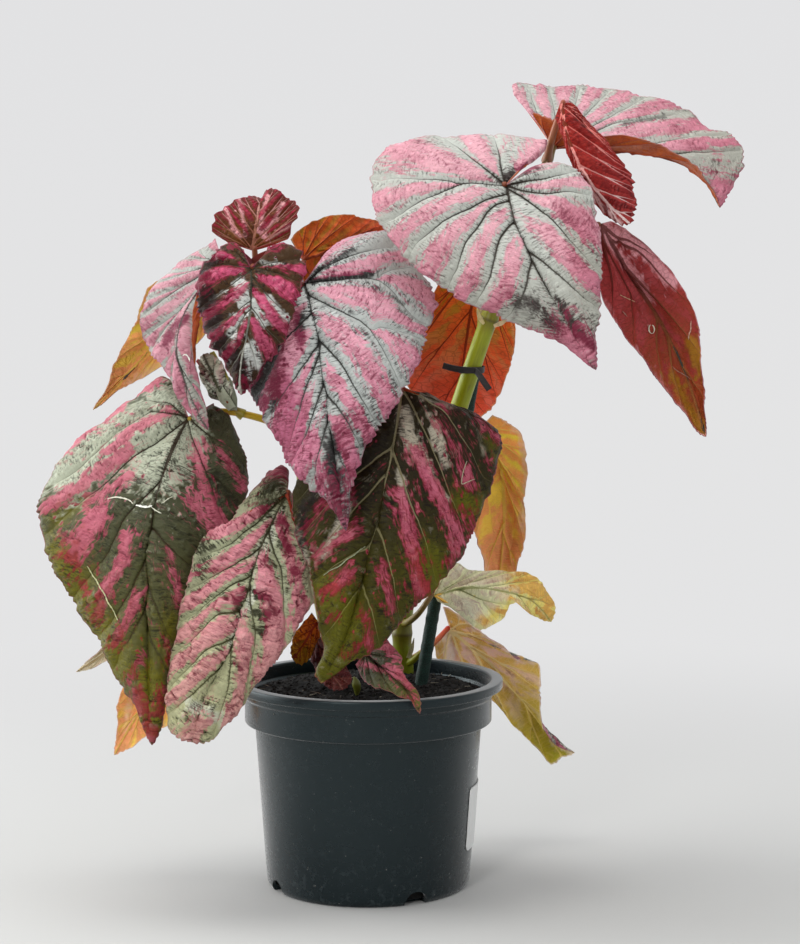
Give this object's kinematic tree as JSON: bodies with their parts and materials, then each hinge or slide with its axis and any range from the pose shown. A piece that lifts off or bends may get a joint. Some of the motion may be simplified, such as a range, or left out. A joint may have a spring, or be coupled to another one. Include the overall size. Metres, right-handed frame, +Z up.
{
  "type": "potted begonia",
  "caption": "Cane begonia with pointed, puckered leaves in silver, pink and dark green on canes tied to a short stake, in a plain round nursery pot.",
  "frame": {"origin": "middle of the pot's base, on the surface that the pot stands on", "axes": "+Z up along the pot's axis, the plant faces -Y, and the stake leans toward +X"},
  "size_m": [0.4358, 0.2303, 0.5047],
  "materials": {
    "pot": "satin moulded plastic",
    "soil": "coarse dark potting soil",
    "label": "plain white sticker",
    "stake": "granular plastic coating",
    "tie": "dull flat strip",
    "bud": "fresh green shoot",
    "cane": "smooth yellow-green stem",
    "leaf_silver": "satin leaf, silver and pink between dark veins",
    "leaf_dark": "glossy puckered leaf, dark green with magenta streaks",
    "leaf_under": "dull red to orange underside"
  },
  "bodies": {
    "root": {"pot": "pot", "soil": "soil", "label": "label", "stake": "stake", "tie": "tie", "bud": "bud", "cane_left": "cane", "cane_right": "cane", "leaf_top_front": "leaf_silver", "leaf_top_back": "leaf_silver", "leaf_top_young": "leaf_dark", "leaf_right_hanging": "leaf_under", "leaf_behind_stake": "leaf_under", "leaf_behind_middle": "leaf_under", "leaf_crown_upright": "leaf_dark", "leaf_crown_front": "leaf_silver", "leaf_left_folded": "leaf_silver", "leaf_left_back": "leaf_under", "leaf_left_large": "leaf_dark", "leaf_left_crumpled": "leaf_silver", "leaf_low_middle": "leaf_dark", "leaf_front_right": "leaf_dark", "leaf_center_large": "leaf_dark", "leaf_right_back": "leaf_under", "leaf_pale_twisted": "leaf_silver", "leaf_right_low": "leaf_under", "leaf_soil_small": "leaf_silver", "leaf_left_low_back": "leaf_under", "leaf_left_pale_back": "leaf_under", "leaf_basal_olive": "leaf_dark", "leaf_basal_maroon": "leaf_dark"}
  },
  "joints": []
}
